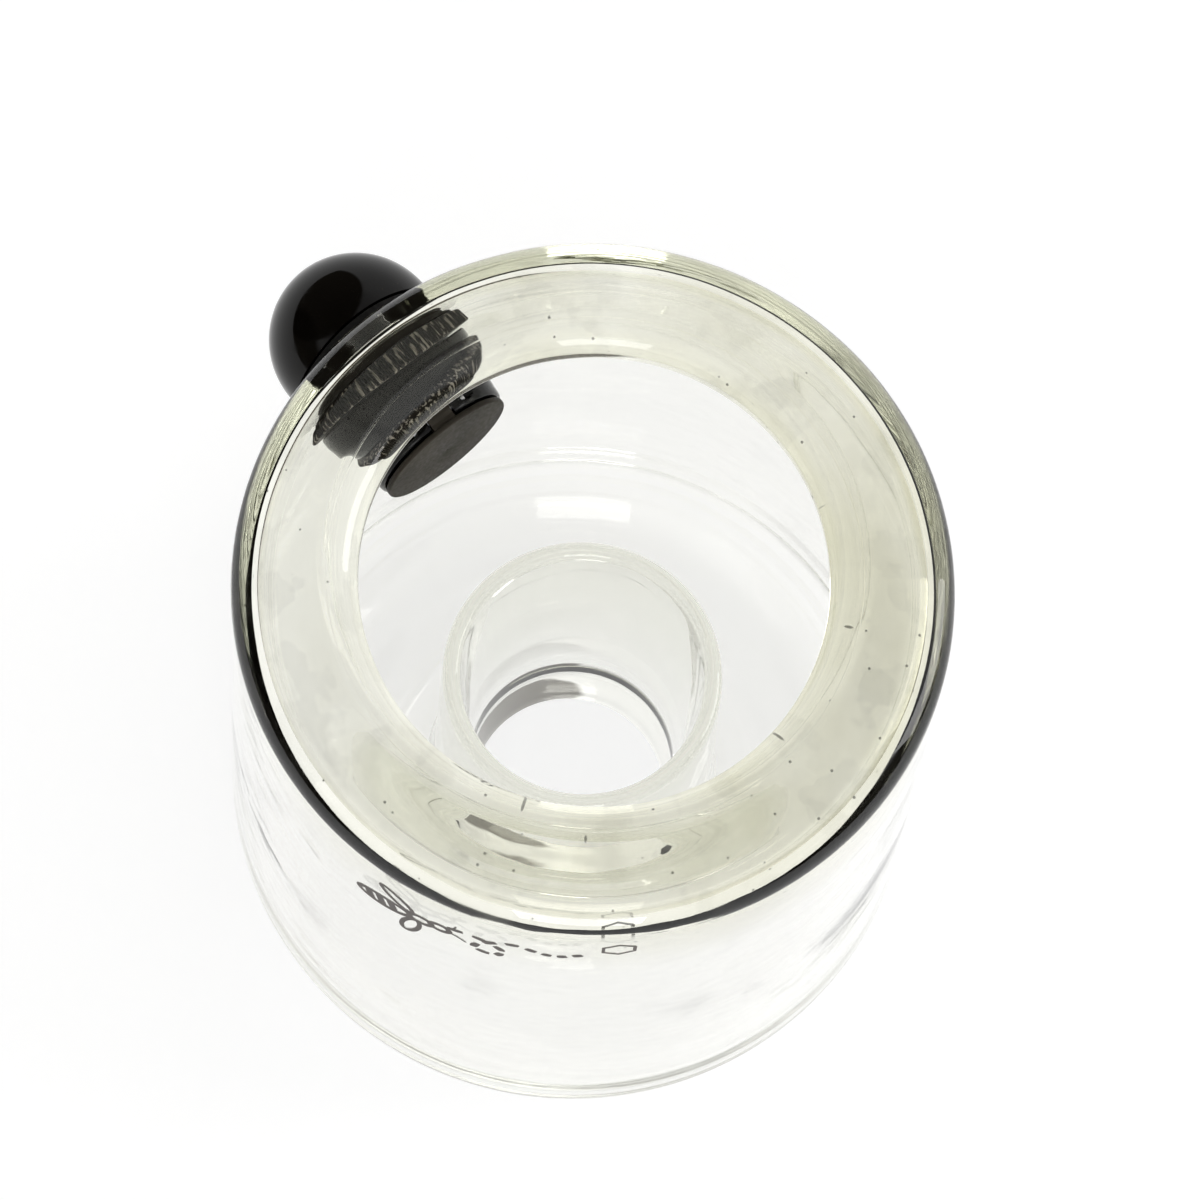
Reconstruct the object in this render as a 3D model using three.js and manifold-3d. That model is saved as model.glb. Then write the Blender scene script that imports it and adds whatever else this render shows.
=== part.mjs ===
// Glass wasp trap: a thick jar with an open chimney in its base and one black entry tube
// clamped through its wall. Millimetres, +Z up. Every piece is made about the jar's own axis,
// with its foot on z = 0 and the entry pointing along -X; the group is then moved along X.
import * as THREE from 'three';
import { mergeVertices } from 'three/addons/utils/BufferGeometryUtils.js';
import Module from 'manifold-3d';

const wasm = await Module();
wasm.setup();

// ---------- driving dimensions ----------
const JAR_RADIUS = 54;          // outside of the body
const JAR_WALL = 3.8;
const JAR_HEIGHT = 120;         // to the crest of the mouth's lip
const JAR_SIDES = 48;
const BEND_HEIGHT = 111.7;      // centre of the bend from wall to shoulder
const BEND_RADIUS = 4.8;
const BEND_INSIDE = 4;
const SHOULDER_SLOPE = 20;      // degrees, rising towards the mouth
const CREST_OUTER = 41;         // ground flat on the crest of the lip
const CREST_INNER = 39.6;
const MOUTH_RADIUS = 35;
const LIP_ROUND = 4.4;          // rounding of the lip towards the mouth
const LIP_UNDER = 3.6;          // rounding of its underside

const FLOOR_THICK = 4.2;        // glass at the lowest point of the trough round the chimney
const HEEL_RADIUS = 14;         // outside rounding from the wall to the flat underside
const BORE_EDGE = 1.2;          // rounding of the chimney bore's lower edge
const CHIMNEY_HEIGHT = 66.5;
const CHIMNEY_TOP_INNER = 18.8;
const CHIMNEY_BOTTOM_INNER = 15.2;
const CHIMNEY_WALL = 2.7;         // at the top; the glass thickens towards the base
const CHIMNEY_OUTER = 22.1;       // outside, at the base
const CHIMNEY_SIDES = 40;
const FOOT_SEAM = 24;           // height where the foot meets the straight wall
const SHOULDER_SEAM = 107.6;    // height where the shoulder meets the straight wall

const ENTRY_HEIGHT = 95;        // axis of the entry tube
const ENTRY_SIDES = 40;
const HOLE_RADIUS = 10.4;       // hole through the jar wall
const TUBE_OUTER = 9.8;
const TUBE_BORE = 8.2;
const HOOD_RADIUS = 13.3;       // the hood is nearly half a ball
const HOOD_LENGTH = 13.5;       // from its foot to its tip
const HOOD_WALL = 1.8;
const HOOD_MOUTH_RADIUS = 5.2;  // opening in the underside of the hood
const HOOD_MOUTH_REACH = 6.4;   // centre of that opening, out from the hood's foot
const GASKET_RADIUS = 12.9;
const GASKET_THICK = 1.7;
const NUT_RADIUS = 13.6;
const NUT_THICK = 4;
const NUT_RIBS = 40;
const RIB_DEPTH = 0.5;
const COLLAR_RADIUS = 11.4;     // end collar, at the flap
const COLLAR_FLARE = 12.2;      // end collar, at the nut
const COLLAR_LENGTH = 7.1;
const COLLAR_BORE = 8;
const COLLAR_END = 3;           // thickness of the collar in front of the tube's end
const FLAP_RADIUS = 11.1;
const FLAP_THICK = 0.9;
const PIN_RADIUS = 0.5;
const PIN_HOLE = 0.65;
const PIN_HALF = 4.9;           // half the pin's length
const PIN_RISE = 10.1;          // pin above the entry tube's axis, inside the collar's thick ring
const PIN_BEHIND = 1.4;         // pin behind the collar's face
const KNUCKLE_RADIUS = 1.2;
const KNUCKLE_HALF = 2;         // half the knuckle's width
const GAP = 0.3;                // clearance between touching pieces

const INNER_RADIUS = JAR_RADIUS - JAR_WALL;
const GASKET_FLAT = INNER_RADIUS - 3;              // flat side of the inner gasket
const NUT_OUTER_FACE = GASKET_FLAT - GAP;
const NUT_INNER_FACE = NUT_OUTER_FACE - NUT_THICK;
const COLLAR_BACK = NUT_INNER_FACE - GAP;
const COLLAR_FACE = COLLAR_BACK - COLLAR_LENGTH;
const FLAP_BACK = COLLAR_FACE - GAP;
const FLAP_FRONT = FLAP_BACK - FLAP_THICK;
const PIN_REACH = COLLAR_FACE + PIN_BEHIND;        // pin's distance from the jar's axis
const HOOD_FOOT = JAR_RADIUS + 2 * GAP + GASKET_THICK;
const TROUGH_ROUND = (INNER_RADIUS - CHIMNEY_OUTER) / 2;       // the trough is half round inside
const TROUGH_MIDDLE = (INNER_RADIUS + CHIMNEY_OUTER) / 2;
const TROUGH_CENTRE = FLOOR_THICK + TROUGH_ROUND;

// ---------- materials ----------
const paint = (color, roughness, metalness = 0) =>
  new THREE.MeshStandardMaterial({ color, roughness, metalness });
const glass = paint(0xd9dfcd, 0.05);
glass.transparent = true;
glass.opacity = 0.4;
const glossBlack = paint(0x0b0a09, 0.12);
const ribbedBlack = paint(0x2b2928, 0.55);
const rubber = paint(0x161514, 0.85);
const flapGrey = paint(0x5d5953, 0.7);
const steel = paint(0x9b9c9e, 0.3, 1);

// ---------- helpers ----------
function solid(geometry) {
  const bare = geometry.clone();
  bare.deleteAttribute('normal');
  bare.deleteAttribute('uv');
  const merged = mergeVertices(bare, 1e-4);
  const index = merged.index.array;
  const triangles = [];
  for (let i = 0; i < index.length; i += 3) {
    const [a, b, c] = [index[i], index[i + 1], index[i + 2]];
    if (a !== b && b !== c && c !== a) triangles.push(a, b, c);
  }
  return new wasm.Manifold(new wasm.Mesh({
    numProp: 3,
    vertProperties: new Float32Array(merged.attributes.position.array),
    triVerts: new Uint32Array(triangles),
  }));
}

function meshOf(name, shape, material) {
  const data = shape.getMesh();
  const geometry = new THREE.BufferGeometry();
  geometry.setAttribute('position', new THREE.BufferAttribute(data.vertProperties, 3));
  geometry.setIndex(new THREE.BufferAttribute(data.triVerts, 1));
  geometry.computeVertexNormals();
  const mesh = new THREE.Mesh(geometry, material);
  mesh.name = name;
  return mesh;
}

const point = (radius, height) => new THREE.Vector2(radius, height);

// points of a round corner, from one angle to another about a centre
function corner(radius, height, size, from, to, steps) {
  const points = [];
  for (let i = 0; i <= steps; i += 1) {
    const angle = THREE.MathUtils.degToRad(from + (to - from) * i / steps);
    points.push(point(radius + size * Math.cos(angle), height + size * Math.sin(angle)));
  }
  return points;
}

// outline of (radius, height) points, up the outside and down the inside, turned about Z
function turned(outline, sides) {
  return solid(new THREE.LatheGeometry(outline, sides).rotateX(Math.PI / 2));
}

// the same, turned about the entry tube's axis: heights are distances from the jar's axis
function turnedOnEntry(outline, sides) {
  const geometry = new THREE.LatheGeometry(outline, sides).rotateZ(Math.PI / 2);
  return solid(geometry.translate(0, 0, ENTRY_HEIGHT));
}

const plug = (radius, from, to) => [point(0, from), point(radius, from), point(radius, to), point(0, to)];
const jarPlug = (radius) => turned(plug(radius, -20, JAR_HEIGHT + 20), JAR_SIDES);

function block(x, y, z, from) {
  return solid(new THREE.BoxGeometry(x, y, z).translate(from[0] + x / 2, from[1] + y / 2, from[2] + z / 2));
}

// ---------- glass ----------
function jarFoot() {
  const seam = TROUGH_MIDDLE + GAP;
  return turned([
    point(seam, 0),
    ...corner(JAR_RADIUS - HEEL_RADIUS, HEEL_RADIUS, HEEL_RADIUS, -90, 0, 7),
    point(JAR_RADIUS, FOOT_SEAM),
    point(INNER_RADIUS, FOOT_SEAM),
    ...corner(TROUGH_MIDDLE, TROUGH_CENTRE, TROUGH_ROUND, 0, -88, 7),
    point(seam, FLOOR_THICK),
    point(seam, 0),
  ], JAR_SIDES);
}

function jarBody() {
  const low = FOOT_SEAM + GAP;
  const high = SHOULDER_SEAM - GAP;
  const hole = turnedOnEntry(plug(HOLE_RADIUS, INNER_RADIUS - 10, JAR_RADIUS + 10), ENTRY_SIDES);
  return turned([
    point(INNER_RADIUS, low),
    point(JAR_RADIUS, low),
    point(JAR_RADIUS, high),
    point(INNER_RADIUS, high),
    point(INNER_RADIUS, low),
  ], JAR_SIDES).subtract(hole);
}

function jarShoulder() {
  const bendEnd = 90 - SHOULDER_SLOPE;
  const lipMiddle = JAR_HEIGHT - LIP_ROUND;
  const underside = lipMiddle - LIP_UNDER;
  return turned([
    point(INNER_RADIUS, SHOULDER_SEAM),
    point(JAR_RADIUS, SHOULDER_SEAM),
    ...corner(JAR_RADIUS - BEND_RADIUS, BEND_HEIGHT, BEND_RADIUS, 0, bendEnd, 5),
    point(CREST_OUTER, JAR_HEIGHT),
    ...corner(MOUTH_RADIUS + LIP_ROUND, lipMiddle, LIP_ROUND, 90, 180, 6),
    ...corner(MOUTH_RADIUS + LIP_UNDER, lipMiddle, LIP_UNDER, 195, 270, 4),
    ...corner(INNER_RADIUS - BEND_INSIDE, underside - BEND_INSIDE + 0.4, BEND_INSIDE, 85, 0, 4),
    point(INNER_RADIUS, SHOULDER_SEAM),
  ], JAR_SIDES);
}

// the inner half of the trough and the tube that rises from it
function baseChimney() {
  const lip = CHIMNEY_WALL / 2;
  const top = CHIMNEY_HEIGHT - lip;
  return turned([
    ...corner(CHIMNEY_BOTTOM_INNER + BORE_EDGE, BORE_EDGE, BORE_EDGE, 180, 270, 3),
    point(TROUGH_MIDDLE, 0),
    point(TROUGH_MIDDLE, FLOOR_THICK),
    ...corner(TROUGH_MIDDLE, TROUGH_CENTRE, TROUGH_ROUND, 262, 180, 6),
    point(CHIMNEY_TOP_INNER + CHIMNEY_WALL, top),
    ...corner(CHIMNEY_TOP_INNER + lip, top, lip, 30, 180, 5),
    point(CHIMNEY_BOTTOM_INNER, BORE_EDGE),
  ], CHIMNEY_SIDES);
}

// ---------- entry ----------
// half an ellipse: the hood's side view from its foot to its tip
function dome(radius, foot, length, steps) {
  const points = [point(0, foot - 6), point(radius, foot - 6)];
  for (let i = 0; i < steps; i += 1) {
    const angle = i / steps * Math.PI / 2;
    points.push(point(radius * Math.cos(angle), foot + length * Math.sin(angle)));
  }
  points.push(point(0, foot + length));
  return points;
}

function entryHood() {
  const shell = turnedOnEntry(dome(HOOD_RADIUS, HOOD_FOOT, HOOD_LENGTH, 10), ENTRY_SIDES)
    .subtract(jarPlug(HOOD_FOOT));
  const tube = turnedOnEntry(plug(TUBE_OUTER, COLLAR_FACE + COLLAR_END + GAP, HOOD_FOOT + 2), ENTRY_SIDES);
  const roomOutline = dome(HOOD_RADIUS - HOOD_WALL, HOOD_FOOT, HOOD_LENGTH - HOOD_WALL, 8);
  const room = turnedOnEntry(roomOutline, ENTRY_SIDES)
    .subtract(turnedOnEntry(plug(HOOD_RADIUS + 1, HOOD_FOOT - 8, HOOD_FOOT + HOOD_WALL), ENTRY_SIDES));
  const bore = turnedOnEntry(plug(TUBE_BORE, COLLAR_FACE, HOOD_FOOT + 4), ENTRY_SIDES);
  const mouth = solid(new THREE.CylinderGeometry(HOOD_MOUTH_RADIUS, HOOD_MOUTH_RADIUS, HOOD_RADIUS + 4, 28)
    .rotateX(Math.PI / 2)
    .translate(-(HOOD_FOOT + HOOD_MOUTH_REACH), 0, ENTRY_HEIGHT - HOOD_RADIUS / 2 - 4));
  return shell.add(tube).subtract(room).subtract(bore).subtract(mouth);
}

function ring(outer, inner, from, to, sides) {
  return turnedOnEntry([point(inner, from), point(outer, from), point(outer, to), point(inner, to),
    point(inner, from)], sides);
}

// saddle-shaped on both sides, because it follows the jar's round wall
function outerGasket() {
  return ring(GASKET_RADIUS, TUBE_OUTER + GAP, JAR_RADIUS - 8, HOOD_FOOT + 8, ENTRY_SIDES)
    .intersect(jarPlug(HOOD_FOOT - GAP))
    .subtract(jarPlug(JAR_RADIUS + GAP));
}

// round against the glass and flat against the nut
function innerGasket() {
  return ring(GASKET_RADIUS, TUBE_OUTER + GAP, GASKET_FLAT, JAR_RADIUS, ENTRY_SIDES)
    .intersect(jarPlug(INNER_RADIUS - GAP));
}

function lockNut() {
  const outline = new THREE.Shape();
  const cuts = NUT_RIBS * 4;
  for (let i = 0; i < cuts; i += 1) {
    const angle = i / cuts * 2 * Math.PI;
    const radius = NUT_RADIUS - (i % 4 < 2 ? 0 : RIB_DEPTH);
    if (i === 0) outline.moveTo(radius, 0);
    else outline.lineTo(radius * Math.cos(angle), radius * Math.sin(angle));
  }
  outline.closePath();
  const hole = new THREE.Path();
  hole.absarc(0, 0, TUBE_OUTER + GAP, 0, 2 * Math.PI, true);
  outline.holes.push(hole);
  const settings = { depth: NUT_THICK, bevelEnabled: false, curveSegments: 20 };
  const geometry = new THREE.ExtrudeGeometry(outline, settings);
  geometry.rotateY(-Math.PI / 2).translate(-NUT_INNER_FACE, 0, ENTRY_HEIGHT);
  return solid(geometry);
}

function endCollar() {
  const step = COLLAR_FACE + COLLAR_END;
  const outline = [
    point(COLLAR_BORE, COLLAR_FACE),
    point(COLLAR_RADIUS - 0.6, COLLAR_FACE),
    point(COLLAR_RADIUS, COLLAR_FACE + 0.6),
    point(COLLAR_FLARE, COLLAR_BACK),
    point(TUBE_OUTER + GAP, COLLAR_BACK),
    point(TUBE_OUTER + GAP, step),
    point(COLLAR_BORE, step),
    point(COLLAR_BORE, COLLAR_FACE),
  ];
  const slotHalf = KNUCKLE_HALF + GAP;
  const slotDepth = PIN_BEHIND + KNUCKLE_RADIUS + GAP;
  const slotLow = PIN_RISE - KNUCKLE_RADIUS - GAP;
  const slot = block(slotDepth + 2, 2 * slotHalf, 5,
    [-COLLAR_FACE - slotDepth, -slotHalf, ENTRY_HEIGHT + slotLow]);
  return turnedOnEntry(outline, ENTRY_SIDES).subtract(slot).subtract(pinRod(PIN_HOLE, 30, 12));
}

// a rod across the top of the collar, on the flap's hinge line
function pinRod(radius, length, sides) {
  return solid(new THREE.CylinderGeometry(radius, radius, length, sides)
    .translate(-PIN_REACH, 0, ENTRY_HEIGHT + PIN_RISE));
}

// the disc hangs in front of the collar; its knuckle sits in the slot behind its top edge
function oneWayFlap() {
  const disc = turnedOnEntry(plug(FLAP_RADIUS, FLAP_FRONT, FLAP_BACK), ENTRY_SIDES);
  const neck = block(PIN_REACH - FLAP_BACK + FLAP_THICK / 2, 2 * KNUCKLE_HALF, 1.6,
    [-PIN_REACH, -KNUCKLE_HALF, ENTRY_HEIGHT + PIN_RISE - 0.9]);
  const knuckle = pinRod(KNUCKLE_RADIUS, 2 * KNUCKLE_HALF, 14);
  return disc.add(neck).add(knuckle).subtract(pinRod(PIN_HOLE, 2 * KNUCKLE_HALF + 4, 12));
}

function flapPin() {
  return pinRod(PIN_RADIUS, 2 * PIN_HALF, 12);
}

// ---------- assembly ----------
const trap = new THREE.Group();
trap.add(
  meshOf('jar_foot', jarFoot(), glass),
  meshOf('jar_body', jarBody(), glass),
  meshOf('jar_shoulder', jarShoulder(), glass),
  meshOf('base_chimney', baseChimney(), glass),
  meshOf('entry_hood', entryHood(), glossBlack),
  meshOf('outer_gasket', outerGasket(), rubber),
  meshOf('inner_gasket', innerGasket(), rubber),
  meshOf('lock_nut', lockNut(), ribbedBlack),
  meshOf('end_collar', endCollar(), glossBlack),
  meshOf('one_way_flap', oneWayFlap(), flapGrey),
  meshOf('flap_pin', flapPin(), steel),
);

// the frame's origin is under the middle of the whole trap, hood included
trap.position.x = (HOOD_FOOT + HOOD_LENGTH - JAR_RADIUS) / 2;

export default trap;
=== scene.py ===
"""The glass wasp trap's looks: one continuous glass jar, its black side entry, and the print."""
import math

import bmesh
import bpy
from mathutils import Matrix, Vector, noise


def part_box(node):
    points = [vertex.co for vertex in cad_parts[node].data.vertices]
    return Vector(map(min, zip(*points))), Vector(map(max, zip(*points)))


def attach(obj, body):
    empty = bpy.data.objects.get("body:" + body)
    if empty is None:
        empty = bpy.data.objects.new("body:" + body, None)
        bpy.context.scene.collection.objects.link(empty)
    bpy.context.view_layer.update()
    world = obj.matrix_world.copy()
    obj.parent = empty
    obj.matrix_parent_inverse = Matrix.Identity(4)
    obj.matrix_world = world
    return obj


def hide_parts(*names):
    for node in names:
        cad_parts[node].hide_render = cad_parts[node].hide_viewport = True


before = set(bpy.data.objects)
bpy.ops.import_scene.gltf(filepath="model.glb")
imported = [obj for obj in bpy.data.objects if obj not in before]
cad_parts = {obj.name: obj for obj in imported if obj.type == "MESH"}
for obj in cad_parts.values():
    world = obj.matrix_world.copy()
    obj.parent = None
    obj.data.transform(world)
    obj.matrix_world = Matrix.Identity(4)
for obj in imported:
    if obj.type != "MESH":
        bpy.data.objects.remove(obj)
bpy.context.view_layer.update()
MM = 0.001

# ---------- places and sizes, from the frame ----------
JAR_LOW, JAR_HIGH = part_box("jar_shoulder")
AXIS_X = (JAR_LOW[0] + JAR_HIGH[0]) / 2     # the jar's axis; pieces are made about it, then moved


def cad_box(node):
    """A node's lowest and highest corners, measured from the jar's axis."""
    low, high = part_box(node)
    return (low[0] - AXIS_X, *low[1:]), (high[0] - AXIS_X, *high[1:])


CHIMNEY_HIGH = cad_box("base_chimney")[1]
HOOD_LOW, HOOD_HIGH = cad_box("entry_hood")
COLLAR_LOW, COLLAR_HIGH = cad_box("end_collar")
NUT_LOW, NUT_HIGH = cad_box("lock_nut")
FLAP_HIGH = cad_box("one_way_flap")[1]
INNER_GASKET_HIGH = cad_box("inner_gasket")[1]
OUTER_GASKET_LOW = cad_box("outer_gasket")[0]
PIN_LOW, PIN_HIGH = cad_box("flap_pin")

HEIGHT = JAR_HIGH[2]
RADIUS = JAR_HIGH[1] - 0.1 * MM        # the print stands on it
WALL = 3.8 * MM
INSIDE = RADIUS - WALL
BEND = 4.8 * MM                             # from the wall to the shoulder
BEND_Z = HEIGHT - 8.3 * MM
BEND_INSIDE = 4 * MM
MOUTH = 35 * MM
LIP = 4.4 * MM
LIP_UNDER = 3.6 * MM
CREST = 41 * MM
FLOOR_THICK = 4.2 * MM
HEEL = 14 * MM                              # from the wall to the flat underside
BORE_EDGE = 0.4 * MM                        # round at the bore's lower edge
MOULD_LINE = 0.12 * MM                      # height of the fine raised line on the lip's crest
CHIMNEY_TOP = CHIMNEY_HIGH[2]
CHIMNEY_WALL = 2.7 * MM
CHIMNEY_IN_TOP = 18.8 * MM
CHIMNEY_IN_LOW = 15.2 * MM
CHIMNEY_OUT_LOW = 22.1 * MM                 # the glass thickens towards the base

GAP = 0.3 * MM
ENTRY_Z = (HOOD_LOW[2] + HOOD_HIGH[2]) / 2
HOLE = 10.4 * MM
TUBE_OUT = 9.8 * MM
TUBE_IN = 8.2 * MM
HOOD_RADIUS = HOOD_HIGH[1]
HOOD_TIP = -HOOD_LOW[0]
HOOD_TUBE_END = -HOOD_HIGH[0]
HOOD_WALL = 1.8 * MM
HOOD_FOOT = -OUTER_GASKET_LOW[0] + GAP
HOOD_MOUTH = 5.2 * MM
HOOD_MOUTH_REACH = 6.4 * MM
GASKET_FLAT = -INNER_GASKET_HIGH[0]
GASKET_RADIUS = INNER_GASKET_HIGH[1]
NUT_RADIUS = NUT_HIGH[1]
NUT_FRONT, NUT_BACK = -NUT_HIGH[0], -NUT_LOW[0]
NUT_RIBS = 150
RIB_DEPTH = 0.3 * MM
RIB_STEPS = 6                               # points round each rib
COLLAR_FRONT, COLLAR_BACK = -COLLAR_HIGH[0], -COLLAR_LOW[0]
COLLAR_FLARE = COLLAR_HIGH[1]
COLLAR_RADIUS = COLLAR_FLARE - 0.8 * MM
COLLAR_BORE = 8 * MM
FLAP_RADIUS = FLAP_HIGH[1]
FLAP_FRONT = -FLAP_HIGH[0]
FLAP_THICK = 0.9 * MM
PIN_X = (PIN_LOW[0] + PIN_HIGH[0]) / 2
PIN_Z = (PIN_LOW[2] + PIN_HIGH[2]) / 2
PIN_RADIUS = 0.5 * MM
PIN_HOLE = PIN_RADIUS + 0.15 * MM
KNUCKLE = 1.2 * MM
KNUCKLE_HALF = 2 * MM


# ---------- mesh helpers ----------
def level(azimuth):
    """A level direction, by its angle from +X in degrees."""
    angle = math.radians(azimuth)
    return Vector((math.cos(angle), math.sin(angle), 0))


def shade(obj, sharp_angle=35):
    """Smooth shading, with creases where the surface really turns."""
    bm = bmesh.new()
    bm.from_mesh(obj.data)
    for edge in bm.edges:
        if len(edge.link_faces) == 2:
            edge.smooth = edge.calc_face_angle(0.0) < math.radians(sharp_angle)
    for face in bm.faces:
        face.smooth = True
    bm.to_mesh(obj.data)
    bm.free()


def new_object(name, bm, mat):
    mesh = bpy.data.meshes.new(name)
    bmesh.ops.recalc_face_normals(bm, faces=bm.faces)
    bm.to_mesh(mesh)
    bm.free()
    obj = bpy.data.objects.new(name, mesh)
    bpy.context.scene.collection.objects.link(obj)
    obj.data.materials.append(mat)
    shade(obj)
    return obj


def arc(radius, height, size, start, stop, steps):
    """Points of a round corner in an outline of (radius, height) pairs, in degrees."""
    points = []
    for i in range(steps + 1):
        angle = math.radians(start + (stop - start) * i / steps)
        points.append((radius + size * math.cos(angle), height + size * math.sin(angle)))
    return points


def divided(points, spacing):
    """The same closed outline with its long straight stretches divided."""
    result = []
    for a, b in zip(points, points[1:] + points[:1]):
        length = math.dist(a, b)
        if length < 1e-7:
            continue
        count = max(1, round(length / spacing))
        for i in range(count):
            t = i / count
            result.append((a[0] + (b[0] - a[0]) * t, a[1] + (b[1] - a[1]) * t))
    return result


def rounded(points, size, steps=4):
    """A closed outline whose corners are cut and rounded by a small radius."""
    result = []
    count = len(points)
    for i, corner in enumerate(points):
        before, after = Vector(points[i - 1]), Vector(points[(i + 1) % count])
        corner = Vector(corner)
        reach = min(size, (before - corner).length * 0.45, (after - corner).length * 0.45)
        start = corner + (before - corner).normalized() * reach
        stop = corner + (after - corner).normalized() * reach
        for k in range(steps + 1):
            t = k / steps
            spot = start * (1 - t) ** 2 + corner * (2 * t * (1 - t)) + stop * t ** 2
            result.append((spot.x, spot.y))
    return result


def lathe(outline, sides, shape=None):
    """A closed outline turned about Z; shape may move each point by its angle."""
    bm = bmesh.new()
    rings = []
    for k in range(sides):
        angle = 2 * math.pi * k / sides
        ring = []
        for radius, height in outline:
            if shape:
                radius, height = shape(radius, height, angle)
            ring.append(bm.verts.new((radius * math.cos(angle), radius * math.sin(angle), height)))
        rings.append(ring)
    count = len(outline)
    for k in range(sides):
        near, far = rings[k], rings[(k + 1) % sides]
        for i in range(count):
            j = (i + 1) % count
            bm.faces.new((near[i], far[i], far[j], near[j]))
    bmesh.ops.remove_doubles(bm, verts=bm.verts, dist=0.001 * MM)
    bmesh.ops.delete(bm, geom=[edge for edge in bm.edges if not edge.link_faces], context="EDGES")
    return bm


def box(low, high):
    bm = bmesh.new()
    bmesh.ops.create_cube(bm, size=1)
    size = Vector(high) - Vector(low)
    middle = (Vector(high) + Vector(low)) / 2
    bmesh.ops.transform(bm, matrix=Matrix.Translation(middle) @ Matrix.Diagonal((*size, 1)), verts=bm.verts)
    return bm


def combine(obj, bm, operation):
    """Join, cut or cross an object with another solid, which is used up."""
    other = new_object("tool", bm, obj.data.materials[0])
    modifier = obj.modifiers.new("combine", "BOOLEAN")
    modifier.object = other
    modifier.operation = operation
    modifier.solver = "EXACT"
    bpy.context.view_layer.update()
    graph = bpy.context.evaluated_depsgraph_get()
    mesh = bpy.data.meshes.new_from_object(obj.evaluated_get(graph))
    obj.modifiers.clear()
    old = obj.data
    obj.data = mesh
    bpy.data.meshes.remove(old)
    bpy.data.objects.remove(other)
    shade(obj)


def soften(obj, width, segments=3, angle=35):
    """Break the sharp edges with a small round."""
    modifier = obj.modifiers.new("bevel", "BEVEL")
    modifier.width = width
    modifier.segments = segments
    modifier.limit_method = "ANGLE"
    modifier.angle_limit = math.radians(angle)
    modifier.harden_normals = True


def to_entry(bm):
    """Turn a shape made about Z so that its height runs out along the entry tube."""
    turn = Matrix.Rotation(math.radians(-90), 4, "Y")
    bmesh.ops.transform(bm, matrix=Matrix.Translation((0, 0, ENTRY_Z)) @ turn, verts=bm.verts)
    return bm


AXIS = 0.0001 * MM                           # radius of a lathe's point that lies on its axis


def plug(radius, low, high, sides=96):
    return lathe([(AXIS, low), (radius, low), (radius, high), (AXIS, high)], sides)


def jar_plug(radius):
    """A cylinder about the jar's axis that is taller than the jar."""
    return plug(radius, -20 * MM, HEIGHT + 20 * MM, 256)


def to_pin(bm):
    """Lay a shape made about Z along the flap pin's axis."""
    turn = Matrix.Rotation(math.radians(90), 4, "X")
    bmesh.ops.transform(bm, matrix=Matrix.Translation((PIN_X, 0, PIN_Z)) @ turn, verts=bm.verts)
    return bm


def rod(radius, half, sides=32):
    """A rod along Y on the flap pin's axis."""
    return to_pin(plug(radius, -half, half, sides))


def place(obj, body, slot, *nodes):
    """Move a finished piece to the jar's axis, hide the nodes it stands for and hang it on its body."""
    obj.data.transform(Matrix.Translation((AXIS_X, 0, 0)))
    if nodes:
        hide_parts(*nodes)
    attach(obj, body)


# ---------- materials ----------
def material(name):
    mat = bpy.data.materials.new(name)
    mat.use_nodes = True
    nodes = mat.node_tree.nodes
    return mat, nodes, mat.node_tree.links, nodes["Principled BSDF"]


def ramp(nodes, links, source, *stops):
    """A colour ramp driven by source; stops are (position, grey or colour)."""
    node = nodes.new("ShaderNodeValToRGB")
    links.new(source, node.inputs["Fac"])
    elements = node.color_ramp.elements
    while len(elements) < len(stops):
        elements.new(0.5)
    for element, (position, colour) in zip(elements, stops):
        element.position = position
        element.color = (colour,) * 3 + (1,) if isinstance(colour, (int, float)) else (*colour, 1)
    return node.outputs["Color"]


def noise_texture(nodes, links, scale, detail=4, stretch=(1, 1, 1)):
    """Cloudy noise, scale features to the metre."""
    coordinates = nodes.new("ShaderNodeTexCoord")
    mapping = nodes.new("ShaderNodeMapping")
    mapping.inputs["Scale"].default_value = stretch
    texture = nodes.new("ShaderNodeTexNoise")
    texture.inputs["Scale"].default_value = scale
    texture.inputs["Detail"].default_value = detail
    links.new(coordinates.outputs["Object"], mapping.inputs["Vector"])
    links.new(mapping.outputs["Vector"], texture.inputs["Vector"])
    return texture.outputs["Fac"]


def voronoi(nodes, links, scale):
    """Distance to the nearest of many scattered points."""
    texture = nodes.new("ShaderNodeTexVoronoi")
    texture.inputs["Scale"].default_value = scale
    links.new(nodes.new("ShaderNodeTexCoord").outputs["Object"], texture.inputs["Vector"])
    return texture.outputs["Distance"]


def bump(nodes, links, height, distance, shader, strength=1.0):
    """Shade the surface as if height raised it, by up to distance."""
    node = nodes.new("ShaderNodeBump")
    node.inputs["Strength"].default_value = strength
    node.inputs["Distance"].default_value = distance
    links.new(height, node.inputs["Height"])
    links.new(node.outputs["Normal"], shader.inputs["Normal"])


def blend(nodes, links, kind, factor, first, second):
    """Mix two colours, each a colour or a socket; the factor is a socket, or None for all of it."""
    mix = nodes.new("ShaderNodeMix")
    mix.data_type = "RGBA"
    mix.blend_type = kind
    mix.inputs["Factor"].default_value = 1.0
    for name, value in (("Factor", factor), ("A", first), ("B", second)):
        socket = next(item for item in mix.inputs if item.name == name and item.enabled)
        if isinstance(value, bpy.types.NodeSocket):
            links.new(value, socket)
        elif value is not None:
            socket.default_value = (*value, 1)
    return next(item for item in mix.outputs if item.enabled)
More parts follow.
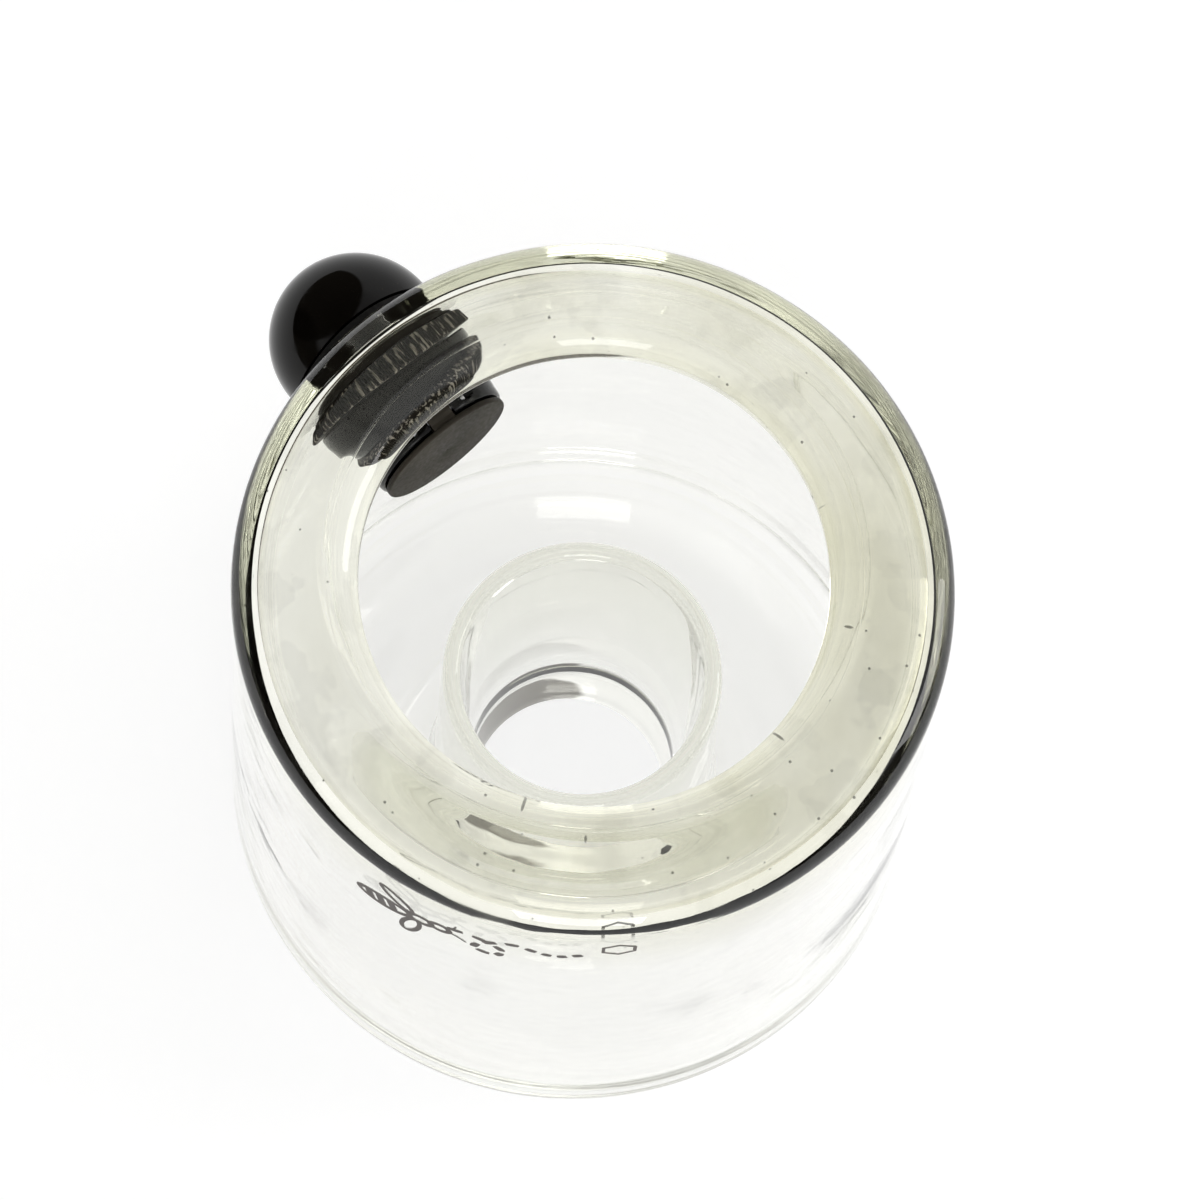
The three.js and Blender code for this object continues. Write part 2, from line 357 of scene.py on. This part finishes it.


# an old film of dust and dried splashes, and a tint that darkens towards one side; it fades out down the
# wall
FILM_LOW = 90 * MM
FILM_HIGH = 110 * MM
CLEAN_GLASS = (0.985, 0.985, 0.97)
FILM_THIN = (0.98, 0.98, 0.92)
FILM_THICK = (0.75, 0.74, 0.61)
DARKER_TINT_SIDE = level(32.4) * 6.0              # the side where the tint darkens, and how much per metre
PATCH = 0.90                                # tint of the hazy patches in the film
SPECK = 0.10                                # tint of a speck of dust
ABSORPTION = (0.80, 0.81, 0.66, 1)          # the tint of thick glass
ABSORPTION_DENSITY = 8.0
GLASS_IOR = 1.5


def glass_material():
    mat, nodes, links, shader = material("clear_glass")
    shader.inputs["IOR"].default_value = GLASS_IOR
    shader.inputs["Transmission Weight"].default_value = 1.0
    smudges = noise_texture(nodes, links, 60, 6)
    links.new(ramp(nodes, links, smudges, (0.56, 0.0), (0.70, 0.10)), shader.inputs["Roughness"])
    spot = nodes.new("ShaderNodeTexCoord").outputs["Object"]
    height = nodes.new("ShaderNodeSeparateXYZ")
    links.new(spot, height.inputs[0])
    aside = nodes.new("ShaderNodeVectorMath")
    aside.operation = "DOT_PRODUCT"
    aside.inputs[1].default_value = DARKER_TINT_SIDE
    links.new(spot, aside.inputs[0])
    thickness = nodes.new("ShaderNodeMath")
    thickness.operation = "ADD"
    links.new(noise_texture(nodes, links, 55, 8), thickness.inputs[0])
    links.new(aside.outputs["Value"], thickness.inputs[1])
    film = ramp(nodes, links, thickness.outputs["Value"], (0.30, FILM_THIN), (0.95, FILM_THICK))
    patches = ramp(nodes, links, noise_texture(nodes, links, 95, 3), (0.56, 1.0), (0.585, PATCH))
    film = blend(nodes, links, "MULTIPLY", None, film, patches)
    band = nodes.new("ShaderNodeMapRange")
    band.inputs["From Min"].default_value = FILM_LOW
    band.inputs["From Max"].default_value = FILM_HIGH
    links.new(height.outputs["Z"], band.inputs["Value"])
    specks = ramp(nodes, links, voronoi(nodes, links, 230), (0.045, SPECK), (0.065, 1.0))
    tint = blend(nodes, links, "MIX", band.outputs["Result"], CLEAN_GLASS, film)
    tint = blend(nodes, links, "MULTIPLY", band.outputs["Result"], tint, specks)
    links.new(tint, shader.inputs["Base Color"])
    bump(nodes, links, noise_texture(nodes, links, 90, 2), 0.15 * MM, shader, 0.25)
    volume = nodes.new("ShaderNodeVolumeAbsorption")
    volume.inputs["Color"].default_value = ABSORPTION
    volume.inputs["Density"].default_value = ABSORPTION_DENSITY
    links.new(volume.outputs["Volume"], nodes["Material Output"].inputs["Volume"])
    return mat


def gloss_black_material(name, dusty):
    """Polished black plastic, with or without pale specks of dust."""
    mat, nodes, links, shader = material(name)
    shader.inputs["Base Color"].default_value = (0.003, 0.0025, 0.002, 1)
    shader.inputs["IOR"].default_value = 1.48
    shader.inputs["Specular IOR Level"].default_value = 0.2
    if dusty:
        specks = ramp(nodes, links, voronoi(nodes, links, 300), (0.030, 0.6), (0.045, 0.002))
        links.new(specks, shader.inputs["Base Color"])
    scuffs = noise_texture(nodes, links, 350, 5)
    links.new(ramp(nodes, links, scuffs, (0.5, 0.05), (0.72, 0.22)), shader.inputs["Roughness"])
    bump(nodes, links, noise_texture(nodes, links, 180, 2), 0.02 * MM, shader, 0.3)
    return mat


def ribbed_material():
    mat, nodes, links, shader = material("ribbed_black")
    # pale streaks along the ribs: partly dust, partly a painted highlight on the ribs
    dust_and_rib_sheen = noise_texture(nodes, links, 1500, 6, (0.15, 1, 1))
    links.new(ramp(nodes, links, dust_and_rib_sheen, (0.53, (0.008, 0.007, 0.006)), (0.60, (0.40, 0.37, 0.33))),
              shader.inputs["Base Color"])
    links.new(ramp(nodes, links, dust_and_rib_sheen, (0.4, 0.32), (0.7, 0.7)), shader.inputs["Roughness"])
    shader.inputs["Specular IOR Level"].default_value = 0.2
    bump(nodes, links, dust_and_rib_sheen, 0.05 * MM, shader, 0.5)
    return mat


def rubber_material():
    mat, nodes, links, shader = material("rubber")
    shader.inputs["Base Color"].default_value = (0.007, 0.0065, 0.006, 1)
    shader.inputs["Specular IOR Level"].default_value = 0.25
    grain = noise_texture(nodes, links, 1600, 4)
    links.new(ramp(nodes, links, grain, (0.3, 0.55), (0.7, 0.85)), shader.inputs["Roughness"])
    bump(nodes, links, grain, 0.04 * MM, shader, 0.4)
    return mat


def flap_material():
    mat, nodes, links, shader = material("flap_grey")
    haze = noise_texture(nodes, links, 120, 5)
    links.new(ramp(nodes, links, haze, (0.3, (0.022, 0.018, 0.013)), (0.7, (0.042, 0.036, 0.027))),
              shader.inputs["Base Color"])
    grain = noise_texture(nodes, links, 1800, 4)
    links.new(ramp(nodes, links, grain, (0.3, 0.45), (0.7, 0.62)), shader.inputs["Roughness"])
    shader.inputs["Specular IOR Level"].default_value = 0.15
    bump(nodes, links, grain, 0.02 * MM, shader, 0.3)
    return mat


def steel_material():
    mat, nodes, links, shader = material("steel")
    shader.inputs["Base Color"].default_value = (0.55, 0.55, 0.56, 1)
    shader.inputs["Metallic"].default_value = 1.0
    drawn = noise_texture(nodes, links, 1500, 3, (1, 0.05, 1))
    links.new(ramp(nodes, links, drawn, (0.3, 0.2), (0.7, 0.42)), shader.inputs["Roughness"])
    return mat


def ink_material():
    mat, nodes, links, shader = material("print_ink")
    grain = noise_texture(nodes, links, 700, 5)
    links.new(ramp(nodes, links, grain, (0.35, (0.022, 0.014, 0.010)), (0.75, (0.055, 0.040, 0.030))),
              shader.inputs["Base Color"])
    shader.inputs["Roughness"].default_value = 0.5
    return mat


# ---------- glass ----------
def uneven(radius, height, angle):
    """The slight waviness of blown glass: none at the foot, and never outwards on the outer wall."""
    spot = Vector((radius * math.cos(angle), radius * math.sin(angle), height))
    swell = noise.noise(spot * 45) * 0.10 * MM + noise.noise(spot * 120 + Vector((7, 3, 1))) * 0.035 * MM
    fade = min(1.0, max(0.0, height / (25 * MM)))
    sunk = min(0.0, swell) if radius > RADIUS - 0.2 * MM else swell
    return radius + fade * sunk, height + 0.6 * fade * (swell if height > BEND_Z else 0) - 0.06 * MM * fade


def glass_jar(mat):
    lip_z = HEIGHT - LIP
    under = lip_z - LIP_UNDER
    seat = CHIMNEY_WALL / 2
    trough = (INSIDE - CHIMNEY_OUT_LOW) / 2
    middle = (INSIDE + CHIMNEY_OUT_LOW) / 2
    bottom = FLOOR_THICK
    outline = [
        *arc(CHIMNEY_IN_LOW + BORE_EDGE, BORE_EDGE, BORE_EDGE, 180, 270, 8),
        *arc(RADIUS - HEEL, HEEL, HEEL, 270, 360, 24),
        *arc(RADIUS - BEND, BEND_Z, BEND, 0, 70, 16),
        *arc(CREST - 0.7 * MM, HEIGHT - 4 * MM, 4 * MM, 72, 90, 4),
        *arc(CREST - 1.15 * MM, HEIGHT, MOULD_LINE, 0, 180, 8),
        *arc(MOUTH + LIP, lip_z, LIP, 90, 180, 18),
        *arc(MOUTH + LIP_UNDER, lip_z, LIP_UNDER, 186, 270, 14),
        *arc(INSIDE - BEND_INSIDE, under - BEND_INSIDE + 0.4 * MM, BEND_INSIDE, 88, 0, 14),
        *arc(middle, bottom + trough, trough, 0, -180, 40),
        *arc(CHIMNEY_IN_TOP + seat, CHIMNEY_TOP - seat, seat, 3, 177, 16),
    ]
    jar = new_object("glass_jar", lathe(divided(outline, 2.5 * MM), 240, uneven), mat)
    combine(jar, to_entry(plug(HOLE, 40 * MM, 60 * MM, 72)), "DIFFERENCE")
    shade(jar, 50)
    place(jar, "trap", "clear_glass", "jar_foot", "jar_body", "jar_shoulder", "base_chimney")


# ---------- black entry ----------
def dome(radius, foot, tip, steps=40):
    """An outline on the entry's axis: half an ellipse from foot to tip, and a stub behind it."""
    points = [(AXIS, foot - 6 * MM), (radius, foot - 6 * MM)]
    for i in range(steps):
        angle = i / steps * math.pi / 2
        points.append((radius * math.cos(angle), foot + (tip - foot) * math.sin(angle)))
    return points + [(AXIS, tip)]


def entry_hood(mat):
    hood = new_object("hood_dome", to_entry(lathe(dome(HOOD_RADIUS, HOOD_FOOT, HOOD_TIP), 128)), mat)
    combine(hood, jar_plug(HOOD_FOOT), "DIFFERENCE")
    combine(hood, to_entry(plug(TUBE_OUT, HOOD_TUBE_END, HOOD_FOOT + 2 * MM)), "UNION")
    hollow = dome(HOOD_RADIUS - HOOD_WALL, HOOD_FOOT, HOOD_TIP - HOOD_WALL)
    room = new_object("room", to_entry(lathe(hollow, 96)), mat)
    behind = plug(HOOD_RADIUS + 1 * MM, HOOD_FOOT - 8 * MM, HOOD_FOOT + HOOD_WALL)
    combine(room, to_entry(behind), "DIFFERENCE")
    cut = bmesh.new()
    cut.from_mesh(room.data)
    bpy.data.objects.remove(room)
    combine(hood, cut, "DIFFERENCE")
    combine(hood, to_entry(plug(TUBE_IN, HOOD_TUBE_END - 1 * MM, HOOD_FOOT + 4 * MM)), "DIFFERENCE")
    mouth = plug(HOOD_MOUTH, ENTRY_Z - HOOD_RADIUS - 4 * MM, ENTRY_Z - 2 * MM, 64)
    bmesh.ops.translate(mouth, vec=(-(HOOD_FOOT + HOOD_MOUTH_REACH), 0, 0), verts=mouth.verts)
    combine(hood, mouth, "DIFFERENCE")
    soften(hood, 0.25 * MM)
    place(hood, "trap", "gloss_black", "entry_hood")


def gaskets(mat):
    wall_out, wall_in = RADIUS + 0.1 * MM + GAP, INSIDE + 0.1 * MM - GAP
    inner = rounded([(TUBE_OUT + GAP, GASKET_FLAT), (GASKET_RADIUS, GASKET_FLAT),
                     (GASKET_RADIUS, wall_out), (TUBE_OUT + GAP, wall_out)], 0.35 * MM)
    seal = new_object("gasket_inside", to_entry(lathe(inner, 128)), mat)
    combine(seal, jar_plug(wall_in), "INTERSECT")
    place(seal, "trap", "rubber", "inner_gasket")
    outer = [(TUBE_OUT + GAP, wall_in), (GASKET_RADIUS, wall_in),
             (GASKET_RADIUS, HOOD_FOOT + 8 * MM), (TUBE_OUT + GAP, HOOD_FOOT + 8 * MM)]
    seal = new_object("gasket_outside", to_entry(lathe(outer, 128)), mat)
    combine(seal, jar_plug(HOOD_FOOT - GAP), "INTERSECT")
    combine(seal, jar_plug(wall_out), "DIFFERENCE")
    soften(seal, 0.3 * MM)
    place(seal, "trap", "rubber", "outer_gasket")


def lock_nut(mat):
    bore = TUBE_OUT + GAP

    def ribbed(radius, height, angle):
        if radius < NUT_RADIUS - 0.9 * MM:
            return radius, height
        across = 0.5 + 0.5 * math.cos(NUT_RIBS * angle)
        return radius - RIB_DEPTH * (1 - across ** 0.6), height

    outline = rounded([(bore, NUT_FRONT), (NUT_RADIUS, NUT_FRONT),
                       (NUT_RADIUS, NUT_BACK), (bore, NUT_BACK)], 0.5 * MM)
    nut = new_object("ribbed_nut", to_entry(lathe(outline, NUT_RIBS * RIB_STEPS, ribbed)), mat)
    place(nut, "trap", "ribbed_black", "lock_nut")


def end_collar(mat):
    step = COLLAR_FRONT + 3 * MM
    outline = rounded([(COLLAR_BORE, COLLAR_FRONT), (COLLAR_RADIUS, COLLAR_FRONT),
                       (COLLAR_FLARE, COLLAR_BACK), (TUBE_OUT + GAP, COLLAR_BACK),
                       (TUBE_OUT + GAP, step), (COLLAR_BORE, step)], 0.6 * MM)
    collar = new_object("collar", to_entry(lathe(outline, 128)), mat)
    half = KNUCKLE_HALF + GAP
    slot_low = PIN_Z - KNUCKLE - GAP
    slot_back = PIN_X - KNUCKLE - GAP
    slot = box((slot_back, -half, slot_low), (slot_back + 6 * MM, half, slot_low + 5 * MM))
    combine(collar, slot, "DIFFERENCE")
    combine(collar, rod(PIN_HOLE, 15 * MM), "DIFFERENCE")
    soften(collar, 0.12 * MM)
    place(collar, "trap", "gloss_black", "end_collar")


def flap(mat):
    back = FLAP_FRONT + FLAP_THICK
    outline = rounded([(AXIS, FLAP_FRONT), (FLAP_RADIUS, FLAP_FRONT),
                       (FLAP_RADIUS, back), (AXIS, back)], 0.3 * MM)
    disc = new_object("flap_disc", to_entry(lathe(outline, 128)), mat)
    neck = box((PIN_X, -KNUCKLE_HALF, PIN_Z - 0.9 * MM),
               (-back + FLAP_THICK / 2, KNUCKLE_HALF, PIN_Z + 0.7 * MM))
    combine(disc, neck, "UNION")
    combine(disc, rod(KNUCKLE, KNUCKLE_HALF), "UNION")
    combine(disc, rod(PIN_HOLE, KNUCKLE_HALF + 2 * MM), "DIFFERENCE")
    soften(disc, 0.12 * MM)
    place(disc, "flap", "flap_grey", "one_way_flap")


def hinge_pin(mat):
    half = PIN_HIGH[1]
    outline = rounded([(AXIS, -half), (PIN_RADIUS, -half), (PIN_RADIUS, half), (AXIS, half)], 0.15 * MM)
    place(new_object("pin", to_pin(lathe(outline, 48)), mat), "trap", "steel", "flap_pin")


# ---------- print ----------
INK_THICK = 0.04 * MM


def on_wall(azimuth, height, proud=0.0):
    """A point on the outside of the wall: azimuth in degrees, height above the foot."""
    radius = RADIUS + 0.02 * MM + proud
    angle = math.radians(azimuth)
    return Vector((radius * math.cos(angle), radius * math.sin(angle), height))


def stroke(bm, points, width):
    """A flat line of ink through (azimuth, height, width factor) points."""
    degree = RADIUS * math.pi / 180
    rows = []
    for i, (azimuth, height, factor) in enumerate(points):
        before, after = points[max(i - 1, 0)], points[min(i + 1, len(points) - 1)]
        along = Vector(((after[0] - before[0]) * degree, after[1] - before[1])).normalized()
        across = Vector((-along.y, along.x)) * width * factor / 2
        corners = []
        for side in (1, -1):
            place_at = (azimuth + side * across.x / degree, height + side * across.y)
            corners.append(bm.verts.new(on_wall(*place_at)))
            corners.append(bm.verts.new(on_wall(*place_at, INK_THICK)))
        rows.append(corners)
    for a, b in zip(rows, rows[1:]):
        for i, j in ((1, 3), (2, 0), (0, 1), (3, 2)):
            bm.faces.new((a[i], b[i], b[j], a[j]))
    for row in (rows[0], rows[-1]):
        bm.faces.new((row[0], row[1], row[3], row[2]))


def ellipse(centre_azimuth, centre_height, half_wide, half_high, tilt, start=0, stop=360, steps=40):
    """Points round an ellipse on the wall, in millimetre half-axes turned by tilt degrees."""
    degree = RADIUS * math.pi / 180
    points = []
    for i in range(steps + 1):
        angle = math.radians(start + (stop - start) * i / steps)
        x, y = half_wide * math.cos(angle), half_high * math.sin(angle)
        turn = math.radians(tilt)
        across, up = x * math.cos(turn) - y * math.sin(turn), x * math.sin(turn) + y * math.cos(turn)
        points.append((centre_azimuth + across / degree, centre_height + up, 1.0))
    return points


def wasp(bm, azimuth, height, size, tilt):
    """A plain outline wasp: head, waist, striped tail and two wings."""
    degree = RADIUS * math.pi / 180
    turn = math.radians(tilt)

    def spot(along, across):
        return (azimuth + (along * math.cos(turn) - across * math.sin(turn)) * size / degree,
                height + (along * math.sin(turn) + across * math.cos(turn)) * size)

    line = 0.20 * size
    stroke(bm, ellipse(*spot(1.25, 0), 0.30 * size, 0.28 * size, tilt), line)
    stroke(bm, ellipse(*spot(0.62, 0), 0.36 * size, 0.30 * size, tilt), line)
    stroke(bm, ellipse(*spot(-0.65, 0), 0.90 * size, 0.40 * size, tilt), line)
    stroke(bm, ellipse(*spot(0.05, 0.95), 0.24 * size, 0.75 * size, tilt + 28), line * 0.8)
    stroke(bm, ellipse(*spot(0.05, -0.95), 0.24 * size, 0.75 * size, tilt - 28), line * 0.8)
    for along, half in ((-1.15, 0.28), (-0.75, 0.38), (-0.35, 0.36)):
        points = [(*spot(along, half * t / 4), 1.0) for t in range(-4, 5)]
        stroke(bm, points, line * 1.4)
    for side in (1, -1):
        points = [(*spot(1.45 + 0.12 * t, side * (0.15 + 0.03 * t * t)), 1 - t / 8) for t in range(5)]
        stroke(bm, points, line * 0.6)


# the wasp's way, as (azimuth in degrees, height in millimetres): one loop, then on to its cell
TRAIL = ((293.0, 98.0), (298.0, 101.0), (303.0, 101.5), (307.0, 98.5), (306.0, 95.0),
         (302.5, 96.0), (304.5, 100.5), (309.0, 103.0), (312.5, 101.5), (315.5, 100.5),
         (318.5, 101.5), (321.5, 103.0), (324.5, 104.5))
DASH, SPACE = 9, 4                          # in steps along the trail
TRAIL_STEPS = 16                            # steps from one point of the trail to the next
TRAIL_LINE = 1.3 * MM
CELL_LINE = 0.6 * MM


def print_mark(mat):
    """A wasp, its dashed flight trail and one cell of its nest, on the front of the wall."""
    bm = bmesh.new()
    wasp(bm, 290.0, 97.5 * MM, 5.2 * MM, 15)
    route = []
    for i in range(1, len(TRAIL) - 2):
        a, b, c, d = (Vector(p) for p in TRAIL[i - 1:i + 3])
        for k in range(TRAIL_STEPS):
            t = k / TRAIL_STEPS
            spot = 0.5 * ((2 * b) + (c - a) * t + (2 * a - 5 * b + 4 * c - d) * t ** 2
                          + (3 * b - a - 3 * c + d) * t ** 3)
            route.append((spot.x, spot.y * MM))
    for start in range(0, len(route) - DASH, DASH + SPACE):
        part = []
        for i, (azimuth, height) in enumerate(route[start:start + DASH]):
            part.append((azimuth, height, 0.7 + 0.3 * math.sin(math.pi * i / (DASH - 1))))
        stroke(bm, part, TRAIL_LINE)
    stroke(bm, ellipse(325.5, 105.2 * MM, 2.7 * MM, 2.5 * MM, 0, 30, 390, 6), CELL_LINE)
    mark = new_object("flight_trail_print", bm, mat)
    place(mark, "trap", "print_ink")


# ---------- camera, floor and light ----------
CAMERA_AZIMUTH = 44.4            # from +X to the picture's right
CAMERA_ELEVATION = 73.0
CAMERA_DISTANCE = 1.35
CAMERA_ROLL = 7.1                # degrees; the jar's axis leans left in the picture
LENS = 272.5
SENSOR = 36
LEVEL = HEIGHT - 8 * MM           # the camera is aimed near the middle of the jar's widest ring
AIM_RIGHT = 0.97 * MM
AIM_UP = -1.84 * MM


def make_camera():
    azimuth = math.radians(CAMERA_AZIMUTH)
    elevation = math.radians(CAMERA_ELEVATION)
    away = Vector((math.sin(azimuth) * math.cos(elevation), -math.cos(azimuth) * math.cos(elevation),
                   math.sin(elevation)))
    centre = Vector((AXIS_X, 0, LEVEL))
    turn = Matrix.Rotation(math.radians(CAMERA_ROLL), 3, away)
    right = turn @ level(CAMERA_AZIMUTH)
    up = away.cross(right)
    data = bpy.data.cameras.new("camera")
    data.lens = LENS
    data.sensor_width = SENSOR
    data.clip_start = 0.01
    data.clip_end = 50
    camera = bpy.data.objects.new("camera", data)
    bpy.context.scene.collection.objects.link(camera)
    camera.location = centre + away * CAMERA_DISTANCE
    back = (camera.location - centre - right * AIM_RIGHT - up * AIM_UP).normalized()
    right = up.cross(back).normalized()
    camera.rotation_euler = Matrix((right, back.cross(right), back)).transposed().to_euler()
    bpy.context.scene.camera = camera


FLOOR_GREY = 0.35
FLOOR_GLOW = 0.79
FLOOR_HALF = 3.0


def make_floor():
    """A pale floor with a glow of its own, like a light table."""
    bm = bmesh.new()
    half = FLOOR_HALF
    corners = ((-half, -half), (half, -half), (half, half), (-half, half))
    bm.faces.new([bm.verts.new((x, y, -0.2 * MM)) for x, y in corners])
    mat, nodes, links, shader = material("floor")
    shader.inputs["Base Color"].default_value = (FLOOR_GREY, FLOOR_GREY, FLOOR_GREY, 1)
    shader.inputs["Roughness"].default_value = 0.9
    shader.inputs["Specular IOR Level"].default_value = 0.1
    shader.inputs["Emission Color"].default_value = (1, 1, 1, 1)
    shader.inputs["Emission Strength"].default_value = FLOOR_GLOW
    new_object("floor", bm, mat)


# gaps in the light tent: degrees round from the picture's right (90 is away from the camera),
# rise for each unit along, and the cosines where the dark starts and where it is full
DARK_GAPS = ((145, 0.58, 0.68, 0.71), (192, 0, 0.78, 0.86), (-14, 0, 0.84, 0.91))
GAP_COLOUR = (0.09, 0.078, 0.058)
TENT_STRENGTH = 1.0
OVERHEAD = ((0.55, 1.0), (0.85, 0.60))     # how high the dimming starts and ends, and how dim


def make_world():
    """A light tent: white all round, dimmer overhead, with three dark gaps."""
    world = bpy.data.worlds.new("world")
    bpy.context.scene.world = world
    world.use_nodes = True
    nodes, links = world.node_tree.nodes, world.node_tree.links
    background = nodes["Background"]
    direction = nodes.new("ShaderNodeTexCoord").outputs["Generated"]
    split = nodes.new("ShaderNodeSeparateXYZ")
    links.new(direction, split.inputs[0])
    colour = ramp(nodes, links, split.outputs["Z"], *OVERHEAD)
    for degrees, rise, start, stop in DARK_GAPS:
        middle = (level(CAMERA_AZIMUTH + degrees) + Vector((0, 0, rise))).normalized()
        towards = nodes.new("ShaderNodeVectorMath")
        towards.operation = "DOT_PRODUCT"
        towards.inputs[1].default_value = middle
        links.new(direction, towards.inputs[0])
        gap = ramp(nodes, links, towards.outputs["Value"], (start, 1.0), (stop, GAP_COLOUR))
        colour = blend(nodes, links, "MULTIPLY", None, colour, gap)
    links.new(colour, background.inputs["Color"])
    background.inputs["Strength"].default_value = TENT_STRENGTH


KEY_SPOT = (0.75, 1.05, 0.62)
FILL_SPOT = (1.1, -0.9, 0.62)
LIGHT_TARGET = Vector((0, 0, 0.05))
LIGHT_SIZE = 0.7
LIGHT_POWER = 6


def make_lights():
    """Two soft lamps: one to the picture's right, one on the camera's side."""
    def area(name, place_at):
        data = bpy.data.lights.new(name, "AREA")
        data.energy = LIGHT_POWER
        data.size = LIGHT_SIZE
        light = bpy.data.objects.new(name, data)
        bpy.context.scene.collection.objects.link(light)
        light.location = place_at
        light.rotation_euler = (LIGHT_TARGET - Vector(place_at)).to_track_quat("-Z", "Y").to_euler()

    area("key", KEY_SPOT)
    area("fill", FILL_SPOT)


GLASS = glass_material()
BLACK = gloss_black_material("gloss_black", False)

glass_jar(GLASS)
entry_hood(BLACK)
gaskets(rubber_material())
lock_nut(ribbed_material())
end_collar(gloss_black_material("dusty_black", True))
flap(flap_material())
hinge_pin(steel_material())
print_mark(ink_material())
make_camera()
make_floor()
make_world()
make_lights()
bpy.context.scene.view_settings.view_transform = "Standard"
# light runs a long way inside thick glass before it comes out
GLASS_BOUNCES = 96
GLOSSY_BOUNCES = 12
bpy.context.scene.cycles.max_bounces = GLASS_BOUNCES
bpy.context.scene.cycles.transmission_bounces = GLASS_BOUNCES
bpy.context.scene.cycles.glossy_bounces = GLOSSY_BOUNCES
